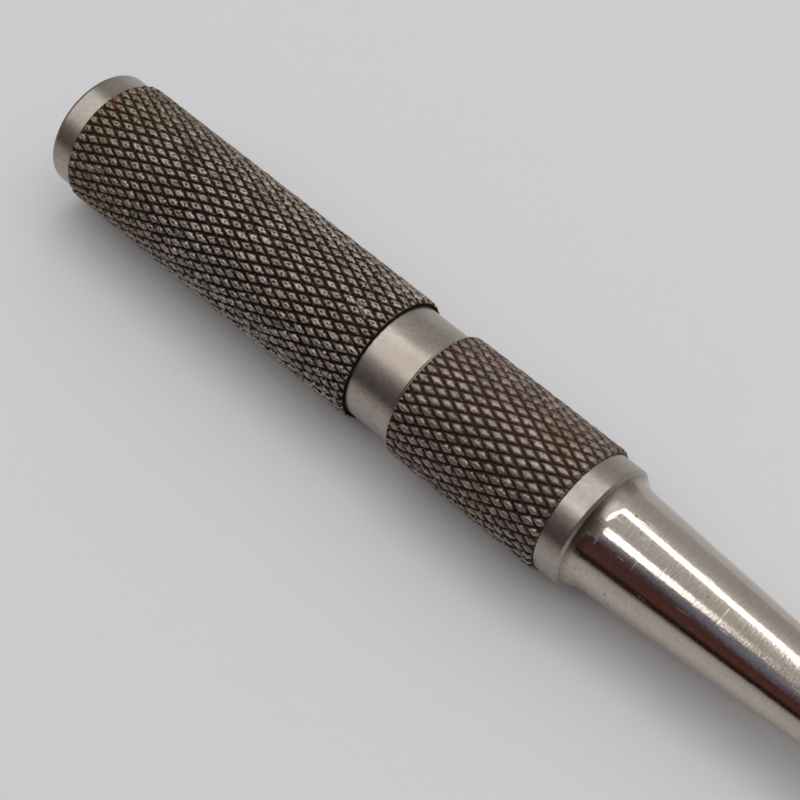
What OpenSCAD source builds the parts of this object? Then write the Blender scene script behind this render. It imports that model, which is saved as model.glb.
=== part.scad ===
// Pocket scriber with a knurled screw chuck, lying on its knurls.
// The axis runs along X, with the point towards +X and the floor at Z = 0.

/* [Knurl] */
// Diameter over the crests of both knurls
knurl_d = 9.5; // [9.3:0.1:12]
// Grooves of each hand round the handle's knurl
knurl_teeth = 40; // [28:2:48]
// Length of one of its diamonds along the axis
diamond_l = 1.62; // [1.3:0.02:2.4]
// Depth of the grooves
knurl_depth = 0.25; // [0.15:0.05:0.3]
// Length of the bevel where a knurl ends
knurl_bevel = 0.2; // [0.1:0.05:0.4]

/* [Handle] */
// Length of the knurled handle tube
handle_l = 27; // [20:0.5:40]
// Bore of the handle tube, where the turned-round point is kept
handle_bore = 6.2; // [5.6:0.1:6.8]
// Diameter of the plain end ring and of the chuck's shoulder
ring_d = 8.9; // [8.7:0.05:9]
// Length of the plain end ring
plug_head_l = 1.9; // [1.2:0.1:4]
// Length of the plug's shank in the tube
plug_shank_l = 5; // [3:0.5:9]
// Rounding of the plug's rear edge
plug_round = 0.25; // [0.15:0.05:1]

/* [Neck spindle] */
// Diameter of the plain neck between the knurls
neck_d = 8.65; // [8:0.05:8.8]
// Length of the plain neck
neck_l = 3.75; // [2.5:0.05:6]
// Length of the spindle's shank in the handle tube
neck_shank_l = 8; // [5:0.5:11]
// Outer diameter of the spigot's thread
thread_d = 7; // [6.6:0.1:7.2]
// Length of the threaded spigot
thread_l = 9; // [8.4:0.1:9.6]
// Pitch of the spigot's thread
thread_pitch = 0.5; // [0.35:0.05:0.6]
// Turns from clamped to open
open_turns = 2; // [1:0.5:2]
// Length of the relief at the root of the thread
relief_l = 0.8; // [0.5:0.1:1.2]
// Depth of that relief
relief_depth = 0.35; // [0.2:0.05:0.5]
// Hole for the point through the spindle
passage_d = 2.4; // [2.1:0.1:3]

/* [Chuck nose] */
// Length of the chuck's knurl
nose_knurl_l = 12.65; // [12:0.05:18]
// Grooves of each hand round that knurl, which is a little coarser
nose_teeth = 38; // [28:2:48]
// Length of one of its diamonds along the axis
nose_diamond_l = 1.56; // [1.3:0.02:2.4]
// Length of the plain shoulder in front of the knurl
shoulder_l = 1.7; // [1:0.05:4]
// Length of the polished taper
taper_l = 29.85; // [24:0.05:36]
// Diameter of the taper at the shoulder
taper_base_d = 7.7; // [7.2:0.05:8]
// Diameter of the taper at its tip
tip_d = 3.8; // [3.6:0.05:4.4]
// Radius of the hollow fillet between shoulder and taper
fillet_r = 2.2; // [1:0.1:8]
// Rounding of the tip's edge
tip_round = 0.3; // [0.1:0.05:0.4]
// Room left between neck and chuck for tightening
tighten_gap = 0.15; // [0.1:0.05:0.4]

/* [Collet] */
// Diameter of the collet's long sleeve
sleeve_d = 3.4; // [3.2:0.05:3.5]
// Diameter of the closed jaws at their front
jaw_d = 2.5; // [2.4:0.05:2.6]
// Half angle of the closing cone
cone_angle = 8; // [6:0.5:12]
// Length of the jaws' plain front inside the tip
jaw_land = 0.4; // [0.3:0.1:1]
// How far the jaws stand out of the tip
jaw_out = 0.4; // [0.2:0.1:1]
// Width of the slits between the jaws
slit_w = 0.3; // [0.2:0.05:0.4]
// Length of the slits
slit_l = 16; // [10:1:22]
// Diameter of the holes that end the slits
slit_end_d = 0.7; // [0.5:0.1:1]
// Diameter of the flange that seats on the spigot
flange_d = 5.6; // [5.4:0.1:6]
// Thickness of that flange
flange_l = 1.2; // [0.8:0.1:1.5]
// Diameter of the tail in the spigot
tail_d = 3.5; // [3.3:0.05:3.6]
// Length of the tail
tail_l = 8.2; // [7.9:0.1:8.2]

/* [Scriber point] */
// Diameter of the point's shank
point_d = 1.6; // [1.4:0.05:1.8]
// Length of the whole point
point_l = 64; // [56:1:66]
// How far the point stands out of the chuck
point_out = 31; // [20:1:36]
// Length of the ground taper
point_taper_l = 9; // [5:0.5:14]
// Diameter where the taper meets the sharp tip
point_tip_d = 0.5; // [0.3:0.05:0.7]
// Length of the sharp tip
point_tip_l = 1.2; // [0.6:0.1:2]
// Bevel of the point's blunt end
point_bevel = 0.25; // [0.1:0.05:0.4]

/* [Spring and key] */
// Wire of the collet spring
spring_wire = 0.45; // [0.35:0.05:0.5]
// Turns of the collet spring
spring_turns = 5; // [4:1:6]
// Outer diameter of the spring's room in the spigot
spring_room_d = 5; // [4.9:0.05:5.2]
// Depth of the spring's room
spring_room_l = 4.5; // [4.2:0.1:4.8]
// Diameter of the key pin
key_d = 1; // [0.8:0.05:1.1]

/* [Clearances] */
// Pressed pieces, on the radius
press_gap = 0.01; // [0.005:0.005:0.02]
// Sliding and turning pieces, on the radius
run_gap = 0.05; // [0.03:0.01:0.08]
// Thread of the chuck on the spigot, on the radius
thread_gap = 0.06; // [0.04:0.01:0.1]
// Closed jaws on the point, on the radius
grip_gap = 0.03; // [0.02:0.01:0.05]
// Closed cone and flange on their seats
seat_gap = 0.04; // [0.03:0.01:0.06]
// Free room round the collet's sleeve and beside the spring
free_gap = 0.1; // [0.08:0.02:0.14]

/* [Hidden] */
$fn = 96;

// Places along the axis, from the rear face of the plug
x_tube = plug_head_l;
x_neck = x_tube + handle_l;
x_spigot = x_neck + neck_l;
x_spigot_end = x_spigot + thread_l;
x_nose = x_spigot + tighten_gap;
x_shoulder = x_nose + nose_knurl_l;
x_taper = x_shoulder + shoulder_l;
x_tip = x_taper + taper_l;
x_point = x_tip + point_out;
overall_l = x_point;

// Knurl
crest_r = knurl_d / 2;
root_r = crest_r - knurl_depth;

// Collet along the axis, closed on the point
open_travel = open_turns * thread_pitch;
x_flange = x_spigot_end + seat_gap;
x_sleeve = x_flange + flange_l;
x_tail = x_flange - tail_l;
x_jaw = x_tip - jaw_land;
cone_l = (sleeve_d - jaw_d) / 2 / tan(cone_angle);
x_cone = x_jaw - cone_l;
x_jaw_end = x_tip + jaw_out;
grip_r = point_d / 2 + grip_gap;

// Room for the collet, its tail, spring and key
tail_room_r = tail_d / 2 + run_gap;
x_tail_room = x_tail - free_gap;
x_spring_room = x_spigot_end - spring_room_l;
x_key = (x_tail + x_spring_room + open_travel) / 2;
key_low_r = grip_r + 2 * free_gap;
key_top_r = thread_d / 2 - free_gap;
key_slot_r = key_d / 2 + run_gap;

// Bore of the chuck
nose_bore_r = thread_d / 2 + thread_gap;
sleeve_bore_r = sleeve_d / 2 + free_gap;
cone_shift = seat_gap / cos(cone_angle);
x_nose_bore = x_sleeve + 3 * free_gap;
drill_half_angle = 59;
x_drill = x_nose_bore + (nose_bore_r - sleeve_bore_r) / tan(drill_half_angle);

overlap = 0.1;
arc_steps = 10;

function arc(centre, r, from, to) =
  [for (i = [0 : arc_steps]) let (a = from + (to - from) * i / arc_steps) centre + r * [cos(a), sin(a)]];

// Hollow fillet from the shoulder's corner down to the taper, tangent to the taper
taper_angle = atan((taper_base_d - tip_d) / 2 / taper_l);
fillet_drop = (ring_d - taper_base_d) / 2 * cos(taper_angle);
fillet_turn = acos(1 - fillet_drop / fillet_r);
fillet_centre = [ring_d / 2, x_taper]
  + fillet_r * [cos(taper_angle + fillet_turn), sin(taper_angle + fillet_turn)];

// Lays a piece that is drawn along Z onto the floor, along X
module lay() {
  translate([-overall_l / 2, 0, crest_r])
    rotate([0, 90, 0])
      children();
}

module turned(profile) {
  rotate_extrude()
    polygon(profile);
}

module drilled(r, from, to) {
  translate([0, 0, from])
    cylinder(r = r, h = to - from);
}

// Solid bar with a diamond knurl: pyramids on a lattice, whose valleys are the crossing grooves
module knurled_bar(from, l, teeth, diamond) {
  ring_n = 2 * teeth;
  rows = round((l - 2 * knurl_bevel) / diamond * 2);
  row_l = (l - 2 * knurl_bevel) / rows;
  function around(i, r, z) = [r * cos(360 * i / ring_n), r * sin(360 * i / ring_n), z];
  function at(ring, i) = ring * ring_n + i % ring_n;
  end_low = [for (i = [0 : ring_n - 1]) around(i, root_r, from)];
  end_high = [for (i = [0 : ring_n - 1]) around(i, root_r, from + l)];
  lattice = [
    for (j = [0 : rows], i = [0 : ring_n - 1])
      around(i, (i + j) % 2 == 0 ? crest_r : root_r, from + knurl_bevel + j * row_l)
  ];
  sides = [
    for (j = [0 : rows + 1], i = [0 : ring_n - 1], half = [0, 1])
      let (a = at(j, i), b = at(j, i + 1), c = at(j + 1, i + 1), d = at(j + 1, i))
        (i + j) % 2 == 1 ? (half == 0 ? [a, d, b] : [b, d, c]) : (half == 0 ? [a, c, b] : [a, d, c])
  ];
  cap_low = [for (i = [0 : ring_n - 1]) i];
  cap_high = [for (i = [ring_n - 1 : -1 : 0]) at(rows + 2, i)];
  polyhedron(concat(end_low, lattice, end_high), concat([cap_low], sides, [cap_high]));
}

// Grip: knurled tube, open at both ends for the plug and the spindle
module handle_tube() {
  color("#8f8a83")
    lay()
      difference() {
        knurled_bar(x_tube, handle_l, knurl_teeth, diamond_l);
        drilled(handle_bore / 2, x_tube - overlap, x_neck + overlap);
      }
}

// Plain end ring with a rounded rear edge and a pressed shank
module end_plug() {
  shank_r = handle_bore / 2 - press_gap;
  head_r = ring_d / 2;
  edge = arc([head_r - plug_round, plug_round], plug_round, -90, 0);
  color("#b9b6b0")
    lay()
      turned(concat(
        [[0, 0]],
        edge,
        [[head_r, x_tube], [shank_r, x_tube], [shank_r, x_tube + plug_shank_l], [0, x_tube + plug_shank_l]]
      ));
}

// Pressed shank, plain neck and threaded spigot, bored for the spring, the tail and the point
module neck_spindle() {
  shank_r = handle_bore / 2 - press_gap;
  thread_r = thread_d / 2;
  relief_r = thread_r - relief_depth;
  x_shank = x_neck - neck_shank_l;
  x_relief_end = x_spigot + relief_l;
  color("#c2bfb9")
    lay()
      difference() {
        turned([
          [0, x_shank], [shank_r, x_shank], [shank_r, x_neck],
          [neck_d / 2, x_neck], [neck_d / 2, x_spigot],
          [relief_r, x_spigot], [relief_r, x_relief_end],
          [thread_r, x_relief_end + relief_depth], [thread_r, x_spigot_end], [0, x_spigot_end]
        ]);
        drilled(passage_d / 2, x_shank - overlap, x_spigot_end + overlap);
        drilled(tail_room_r, x_tail_room, x_spigot_end + overlap);
        drilled(spring_room_d / 2, x_spring_room, x_spigot_end + overlap);
        key_bar(key_d / 2 + press_gap, 0, thread_r + overlap);
      }
}

// Round bar that stands on the axis at the key's place
module key_bar(r, low, high) {
  translate([-low, 0, x_key])
    rotate([0, -90, 0])
      cylinder(r = r, h = high - low);
}

// Pin that keeps the collet from turning and from falling out
module key_pin() {
  color("#77736d")
    lay()
      key_bar(key_d / 2, key_low_r, key_top_r);
}

// Coil spring behind the flange, which keeps the loosened jaws lightly on the point
module collet_spring() {
  ring_sides = 6;
  rings_per_turn = 10;
  rings = spring_turns * rings_per_turn;
  wire_r = spring_wire / 2;
  coil_r = spring_room_d / 2 - free_gap - wire_r;
  z_low = x_spring_room + wire_r + seat_gap;
  z_high = x_flange - wire_r - seat_gap;
  function around(k, s) =
    let (
      turn = 360 * k / rings_per_turn,
      side = 360 * s / ring_sides,
      r = coil_r + wire_r * cos(side),
      z = z_low + (z_high - z_low) * k / rings + wire_r * sin(side)
    ) [r * cos(turn), r * sin(turn), z];
  function at(k, s) = k * ring_sides + s % ring_sides;
  points = [for (k = [0 : rings], s = [0 : ring_sides - 1]) around(k, s)];
  sides = [
    for (k = [0 : rings - 1], s = [0 : ring_sides - 1], half = [0, 1])
      half == 0
        ? [at(k, s), at(k, s + 1), at(k + 1, s + 1)]
        : [at(k, s), at(k + 1, s + 1), at(k + 1, s)]
  ];
  cap_low = [for (s = [ring_sides - 1 : -1 : 0]) at(0, s)];
  cap_high = [for (s = [0 : ring_sides - 1]) at(rings, s)];
  color("#6f6c68")
    lay()
      polyhedron(points, concat([cap_low], sides, [cap_high]));
}

// Long split collet: tail with a key slot, flange, sleeve, closing cone and four jaws
module collet() {
  color("#9b9488")
    lay()
      difference() {
        turned([
          [grip_r, x_tail], [tail_d / 2, x_tail], [tail_d / 2, x_flange],
          [flange_d / 2, x_flange], [flange_d / 2, x_sleeve],
          [sleeve_d / 2, x_sleeve], [sleeve_d / 2, x_cone],
          [jaw_d / 2, x_jaw], [jaw_d / 2, x_jaw_end], [grip_r, x_jaw_end]
        ]);
        jaw_slits();
        key_slot();
      }
}

module jaw_slits() {
  slit_far = x_jaw_end - slit_l;
  for (turn = [0, 90])
    rotate([0, 0, turn + 45]) {
      translate([-sleeve_d, -slit_w / 2, slit_far])
        cube([2 * sleeve_d, slit_w, slit_l + overlap]);
      translate([-sleeve_d, 0, slit_far])
        rotate([0, 90, 0])
          cylinder(d = slit_end_d, h = 2 * sleeve_d);
    }
}

module key_slot() {
  for (back = [0, open_travel])
    translate([0, 0, -back])
      key_bar(key_slot_r, 0, tail_d);
  translate([-tail_d, -key_slot_r, x_key - open_travel])
    cube([tail_d, 2 * key_slot_r, open_travel]);
}

// Screw chuck: knurl, plain shoulder, hollow fillet and polished taper over the collet
module chuck_nose() {
  round_centre = [tip_d / 2 - tip_round, x_tip - tip_round];
  color("#d3d0ca")
    lay()
      difference() {
        union() {
          knurled_bar(x_nose, nose_knurl_l, nose_teeth, nose_diamond_l);
          turned(concat(
            [[0, x_shoulder - overlap], [ring_d / 2, x_shoulder - overlap], [ring_d / 2, x_taper]],
            arc(fillet_centre, fillet_r, 180 + taper_angle + fillet_turn, 180 + taper_angle),
            arc(round_centre, tip_round, taper_angle, 90),
            [[0, x_tip]]
          ));
        }
        nose_bore();
      }
}

// Thread bore, drill point, sleeve bore and closing cone, drawn as one cutter
module nose_bore() {
  jaw_bore_r = jaw_d / 2 + cone_shift;
  x_cone_bore = x_jaw - (sleeve_bore_r - jaw_bore_r) / tan(cone_angle);
  turned([
    [0, x_nose - overlap], [nose_bore_r, x_nose - overlap], [nose_bore_r, x_nose_bore],
    [sleeve_bore_r, x_drill], [sleeve_bore_r, x_cone_bore],
    [jaw_bore_r, x_jaw], [jaw_bore_r, x_tip + overlap], [0, x_tip + overlap]
  ]);
}

// Hardened point, straight in the jaws and ground to a long taper
module scriber_point() {
  shank_r = point_d / 2;
  x_blunt = x_point - point_l;
  x_sharp = x_point - point_tip_l;
  color("#7d7b78")
    lay()
      turned([
        [0, x_blunt], [shank_r - point_bevel, x_blunt], [shank_r, x_blunt + point_bevel],
        [shank_r, x_sharp - point_taper_l], [point_tip_d / 2, x_sharp], [0, x_point]
      ]);
}

handle_tube();
end_plug();
neck_spindle();
key_pin();
collet_spring();
collet();
chuck_nose();
scriber_point();
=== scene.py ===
# %% [markdown]
# # A pocket scriber with a knurled screw chuck
# The real tool is turned from bar on a lathe, nickel-plated, and held between finger and thumb by
# two diamond knurls. The solids come from the CAD model: they fix every size and every joint. This
# lesson gives the tool its looks: diamonds with worn tops and grimy grooves, satin rings, a polished
# nose and a ground point.

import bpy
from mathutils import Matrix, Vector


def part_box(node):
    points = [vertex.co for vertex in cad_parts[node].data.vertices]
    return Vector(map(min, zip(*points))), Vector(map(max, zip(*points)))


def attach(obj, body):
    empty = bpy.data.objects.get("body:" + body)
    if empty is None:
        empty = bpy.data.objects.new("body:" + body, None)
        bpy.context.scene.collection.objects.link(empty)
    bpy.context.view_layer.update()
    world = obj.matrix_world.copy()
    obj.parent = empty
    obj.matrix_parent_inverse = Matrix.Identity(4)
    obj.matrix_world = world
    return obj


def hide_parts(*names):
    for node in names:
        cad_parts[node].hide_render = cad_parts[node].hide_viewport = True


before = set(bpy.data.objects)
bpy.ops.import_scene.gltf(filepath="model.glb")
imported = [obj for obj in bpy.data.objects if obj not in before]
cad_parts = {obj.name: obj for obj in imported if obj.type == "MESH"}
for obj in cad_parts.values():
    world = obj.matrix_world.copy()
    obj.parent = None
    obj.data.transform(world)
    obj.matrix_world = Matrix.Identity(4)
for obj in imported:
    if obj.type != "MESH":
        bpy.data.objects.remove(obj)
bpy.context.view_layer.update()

# %% [markdown]
# ## Where things are
# Everything lies on one axis, parallel to X. Reading the places from the solids keeps the looks in
# step with the CAD: if the handle grows there, the knurl grows here. Only sizes that the boxes don't
# show, such as the depth of the knurl, are written out.

# %% Places along the axis
import bpy
import bmesh
import math
from mathutils import Vector

MM = 0.001
KNURL_DEPTH = 0.25 * MM
TUBE_BORE_R = 3.1 * MM


def box_radius(low, high):
    return (high.z - low.z) / 2


tube_low, tube_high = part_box("handle_tube")
plug_low, plug_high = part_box("end_plug")
neck_low, neck_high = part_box("neck_spindle")
nose_low, nose_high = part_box("chuck_nose")
point_low, point_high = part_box("scriber_point")
axis_z = (tube_low.z + tube_high.z) / 2
crest_r = box_radius(tube_low, tube_high)
root_r = crest_r - KNURL_DEPTH
ring_r = box_radius(plug_low, plug_high)
neck_r = box_radius(neck_low, neck_high)
point_r = box_radius(point_low, point_high)
print("axis at", round(axis_z / MM, 3), "crest", round(crest_r / MM, 3), "ring", round(ring_r / MM, 3),
      "neck", round(neck_r / MM, 3), "point", round(point_r / MM, 3))

# %% [markdown]
# ## Camera
# The photograph looks down on the tool from its right, from over the end of the nose. A camera fitted
# to the round rims gave its distance and lens; the target is the place in the middle of the frame.

# %% Make the camera
LENS, SENSOR = 95.05, 36
AZIMUTH, ELEVATION = 44.2998, 55.7167
CAMERA_DISTANCE = 136.58 * MM
camera_target = Vector((-22.52 * MM, -1.824 * MM, axis_z))


def put_in_scene(name, data):
    item = bpy.data.objects.new(name, data)
    bpy.context.scene.collection.objects.link(item)
    return item


def look_from(azimuth, elevation):
    a, e = math.radians(azimuth), math.radians(elevation)
    return Vector((math.sin(a) * math.cos(e), -math.cos(a) * math.cos(e), math.sin(e)))


camera = put_in_scene("photo_camera", bpy.data.cameras.new("photo_camera"))
camera.data.sensor_width = SENSOR
camera.data.lens = LENS
camera.data.clip_start, camera.data.clip_end = 0.005, 20
camera_back = look_from(AZIMUTH, ELEVATION)
camera.location = camera_target + camera_back * CAMERA_DISTANCE
camera.rotation_mode = "QUATERNION"
camera.rotation_quaternion = (-camera_back).to_track_quat("-Z", "Y")
bpy.context.scene.camera = camera
bpy.context.scene.view_settings.view_transform = "Standard"
print("camera at", [round(v / MM, 1) for v in camera.location], "mm")

# %% [markdown]
# ## Floor and room
# A polished cylinder shows its whole surroundings as stripes, so the room matters as much as the
# metal. A grey world stands for walls and ceiling. The floor is a plain pale sheet, wide enough to reach
# past the frame in every view.

# %% Helpers for materials and sheets
def new_material(name):
    material = bpy.data.materials.new(name)
    material.use_nodes = True
    tree = material.node_tree
    return material, tree, tree.nodes["Principled BSDF"]


def add(tree, kind, feeds=None, **settings):
    """A new node; each input that is fed gets a wire from another node or a constant."""
    node = tree.nodes.new(kind)
    for key, value in settings.items():
        setattr(node, key, value)
    for key, value in (feeds or {}).items():
        if isinstance(value, bpy.types.NodeSocket):
            tree.links.new(value, node.inputs[key])
        elif value is not None:
            node.inputs[key].default_value = value
    return node


def wire(tree, source, target):
    tree.links.new(source, target)


def stage_sheet(name, corners, material, faces=None):
    mesh = bpy.data.meshes.new(name)
    mesh.from_pydata(corners, [], faces or [range(len(corners))])
    mesh.materials.append(material)
    sheet = put_in_scene(name, mesh)
    return sheet


# %% Floor and world
FLOOR_HALF = 4
floor_paint, tree, shader = new_material("pale_floor")
shader.inputs["Base Color"].default_value = (0.74, 0.742, 0.752, 1)
shader.inputs["Roughness"].default_value = 0.6
shader.inputs["Specular IOR Level"].default_value = 0.25
stage_sheet("floor", [(FLOOR_HALF * x, FLOOR_HALF * y, 0)
                      for x, y in ((-1, -1), (1, -1), (1, 1), (-1, 1))], floor_paint)

world = bpy.data.worlds.new("grey_room")
world.use_nodes = True
background = world.node_tree.nodes["Background"]
background.inputs["Color"].default_value = (0.45, 0.45, 0.455, 1)
background.inputs["Strength"].default_value = 1
bpy.context.scene.world = world
print("floor", 2 * FLOOR_HALF, "m square, grey world")

# %% [markdown]
# ## Lamps
# Soft lamps light the floor and the satin bands. Each fills a range of angles round the tool's axis, so
# a band of satin can be matched angle by angle. Lamps that would show in the polish as bars with hard
# edges are hidden from reflections there, and cards take their place.

# %% Lamps
CEILING, CEILING_REAR = (-0.46, -0.24), (-0.75, -0.46)


def round_axis(angle, distance, x):
    """A place at an angle round the tool's axis: 0 is +Y, 90 is straight up."""
    a = math.radians(angle)
    return Vector((x, distance * math.cos(a), axis_z + distance * math.sin(a)))


def soft_lamp(name, angles, reach, radiance, distance=0.75, mirrored=True):
    """A lamp that fills these angles round the axis, over this reach along X."""
    lamp = bpy.data.lights.new(name, "AREA")
    lamp.shape = "RECTANGLE"
    lamp.size = reach[1] - reach[0]
    lamp.size_y = 2 * distance * math.tan(math.radians(angles[1] - angles[0]) / 2)
    lamp.energy = radiance * math.pi * lamp.size * lamp.size_y
    holder = put_in_scene(name, lamp)
    middle = sum(angles) / 2
    holder.location = round_axis(middle, distance, sum(reach) / 2)
    holder.rotation_euler = (math.radians(middle - 90), 0, 0)
    holder.visible_camera = False
    holder.visible_glossy = mirrored
    return holder


lamps = [
    soft_lamp("stripe_lamp", (61, 74), (-0.19, -0.03), 3.6, mirrored=False),
    soft_lamp("thin_stripe_lamp", (109.5, 119.5), (-0.19, -0.076), 4.0, mirrored=False),
    soft_lamp("fill_lamp", (54, 101), (0.02, 0.44), 0.95, mirrored=False),
    soft_lamp("ceiling_lamp", (73, 84), CEILING, 1.95),
    soft_lamp("ceiling_low_lamp", (84, 116), CEILING, 1.1),
    soft_lamp("ceiling_fade_lamp", (116, 128), CEILING, 0.85),
    soft_lamp("ceiling_rear_lamp", (68, 128), CEILING_REAR, 0.97),
    soft_lamp("ceiling_rear_fade_lamp", (128, 140), CEILING_REAR, 0.7),
    soft_lamp("floor_lamp", (30, 85), (-0.8, 0.8), 0.36, distance=1.2, mirrored=False),
]
print("lamps", [(o.name, round(o.data.energy, 2)) for o in lamps])

# %% [markdown]
# ## Cards for the reflections
# What the polish mirrors hangs round the tool as glowing cards. Lamps with straight edges could do this
# too, but a card can bend and fade out. The camera doesn't see them and they throw no shadow. Only the
# dark walls on the near side also count for the floor, because they keep light out of the shadow there.

# %% Helper: paint for a card
def grey(level):
    return (level, level, level)


def object_coords(tree):
    return add(tree, "ShaderNodeTexCoord").outputs["Object"]


def along_axes(tree, coords):
    return add(tree, "ShaderNodeSeparateXYZ", {"Vector": coords}).outputs


def vector_node(tree, operation, vector, constant=None):
    return add(tree, "ShaderNodeVectorMath", {0: vector, 1: constant}, operation=operation).outputs


def card_paint(name, axis, stops, strength=1):
    """The colour changes along an axis, or outwards from a place; the stops are in metres."""
    material, tree, shader = new_material(name)
    if isinstance(axis, str):
        value = along_axes(tree, object_coords(tree))[axis]
    else:
        value = vector_node(tree, "DISTANCE", object_coords(tree), axis)["Value"]
    first, last = stops[0][0], stops[-1][0]
    spread = add(tree, "ShaderNodeMapRange", {"Value": value, "From Min": first, "From Max": last})
    colours = add(tree, "ShaderNodeValToRGB", {"Fac": spread.outputs["Result"]})
    while len(colours.color_ramp.elements) < len(stops):
        colours.color_ramp.elements.new(0.5)
    for element, (place, colour) in zip(colours.color_ramp.elements, stops):
        element.position = (place - first) / (last - first)
        element.color = colour + (1,)
    shader.inputs["Base Color"].default_value = (0, 0, 0, 1)
    shader.inputs["Specular IOR Level"].default_value = 0
    shader.inputs["Emission Strength"].default_value = strength
    wire(tree, colours.outputs["Color"], shader.inputs["Emission Color"])
    return material


# %% Helpers: flat, bent and upright cards
def card(name, corners, paint, faces=None, shades_floor=False):
    """The paint is an axis or a place, the stops, and a strength if it isn't 1."""
    sheet = stage_sheet(name, corners, card_paint(name, *paint), faces)
    sheet.visible_camera = False
    sheet.visible_diffuse = shades_floor
    sheet.visible_shadow = False
    return sheet


def ribbon(name, distance, rows, *paint):
    """A card bent round the axis; each row gives a place along X and the two angles of its edges."""
    corners = [round_axis(angle, distance, x) for x, low, high in rows for angle in (low, high)]
    return card(name, corners, paint, [(k, k + 1, k + 3, k + 2) for k in range(0, len(corners) - 2, 2)])


def wall(name, reach, y, height, *paint, shades_floor=False):
    """A card along X that stands on the floor."""
    (x1, x2), z = reach, height
    return card(name, [(x1, y, 0), (x2, y, 0), (x2, y, z), (x1, y, z)], paint, shades_floor=shades_floor)


def end_wall(name, x, reach, height, *paint):
    """A card across X that stands on the floor."""
    (y1, y2), z = reach, height
    return card(name, [(x, y1, 0), (x, y2, 0), (x, y2, z), (x, y1, z)], paint)


# %% [markdown]
# Two bent white ribbons make the two bright stripes along the taper. Behind them hang the pale ceiling,
# a halo on the far side and a round glow over the end of the nose, which the stripes fade into.

# %% Bright cards
GLOW_ANGLE, GLOW_DISTANCE, GLOW_X = 78, 0.78, 0.22
glow_place = round_axis(GLOW_ANGLE, GLOW_DISTANCE, GLOW_X)
glow_across = Vector((0, math.sin(math.radians(GLOW_ANGLE)), -math.cos(math.radians(GLOW_ANGLE))))
glow_along = Vector((1, 0, 0))
bright_cards = [
    ribbon("stripe", 0.74, [
        (-0.2, 57.5, 67.5), (-0.13, 58.5, 69), (-0.106, 60, 70.5), (-0.09, 60.5, 72), (-0.073, 61, 73.5),
        (-0.046, 62.5, 75), (-0.034, 64, 79), (-0.015, 67, 86), (0.015, 70, 92), (0.074, 76, 97),
        (0.15, 83, 101), (0.2, 92, 102)],
        "X", [(-0.2, grey(1)), (-0.02, grey(1)), (0.12, grey(0.6)), (0.2, grey(0.35))], 4),
    ribbon("thin_stripe", 0.74, [(-0.2, 108.5, 122), (-0.08, 108.5, 121.5), (-0.05, 111, 118)],
           "X", [(-0.2, grey(1)), (-0.083, grey(0.95)), (-0.077, grey(0.28)), (-0.066, grey(0.17)),
                 (-0.05, grey(0.14))], 4),
    ribbon("pale_ceiling", 0.8, [(-0.22, 74, 110), (0.02, 74, 110)],
           "X", [(-0.22, grey(0.57)), (0.02, grey(0.55))]),
    ribbon("halo", 0.79, [(-0.24, 35, 62), (0.1, 35, 62)],
           "Z", [(0.45, grey(0.46)), (0.57, grey(0.57)), (0.64, grey(0.68)), (0.7, grey(0.75))]),
    card("glow", [glow_place + x * glow_along + y * glow_across
                  for x, y in ((-0.24, -0.36), (0.42, -0.36), (0.42, 0.36), (-0.24, 0.36))],
         (glow_place, [(0.0, grey(1)), (0.2, grey(0.97)), (0.32, grey(0.68)), (0.42, (0.5, 0.5, 0.505))])),
]
print("bright cards", [sheet.name for sheet in bright_cards])

# %% [markdown]
# A dark brown wall on the near side makes the dark flank of the taper. It is four cards side by side,
# because it is brown in the middle and turns grey and paler towards both ends.

# %% Dark walls
WALL_Y, WALL_HEIGHT, WALL_END_HEIGHT = -0.8, 1.16, 0.66
dark_walls = [
    wall("dark_wall", (-0.26, 0.42), WALL_Y, WALL_HEIGHT, "Z", [
        (0.0, (0.015, 0.006, 0.005)), (0.085, (0.03, 0.013, 0.011)), (0.16, (0.105, 0.05, 0.044)),
        (0.46, (0.085, 0.037, 0.032)), (0.65, (0.07, 0.036, 0.042)), (0.83, (0.1, 0.07, 0.085)),
        (0.95, (0.17, 0.15, 0.17)), (WALL_HEIGHT, (0.34, 0.33, 0.36))], shades_floor=True),
    wall("dark_wall_end", (0.42, 0.81), WALL_Y, WALL_END_HEIGHT, "X", [
        (0.42, (0.085, 0.037, 0.032)), (0.55, (0.1, 0.06, 0.053)), (0.8, (0.24, 0.21, 0.195))],
        shades_floor=True),
    wall("dark_rear_wall", (-0.57, -0.26), WALL_Y, WALL_HEIGHT, "Z", [
        (0.0, (0.065, 0.065, 0.07)), (0.2, (0.09, 0.087, 0.093)), (0.41, (0.16, 0.152, 0.162)),
        (0.65, (0.3, 0.285, 0.305)), (0.99, (0.5, 0.49, 0.52)), (WALL_HEIGHT, (0.55, 0.55, 0.57))],
        shades_floor=True),
    wall("dark_rear_wall_end", (-1.3, -0.57), WALL_Y, WALL_HEIGHT, "Z", [
        (0.0, (0.09, 0.08, 0.068)), (0.2, (0.125, 0.112, 0.098)), (0.41, (0.23, 0.21, 0.19)),
        (0.65, (0.36, 0.335, 0.31)), (0.99, (0.53, 0.515, 0.51)), (WALL_HEIGHT, (0.55, 0.55, 0.57))],
        shades_floor=True),
]
print("dark walls", [sheet.name for sheet in dark_walls])

# %% [markdown]
# The rest of the room is dim: a bluish window between stripe and wall, a dim patch overhead, the near
# floor darkening away from the tool, and grey walls behind, beside and beyond it.

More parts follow.
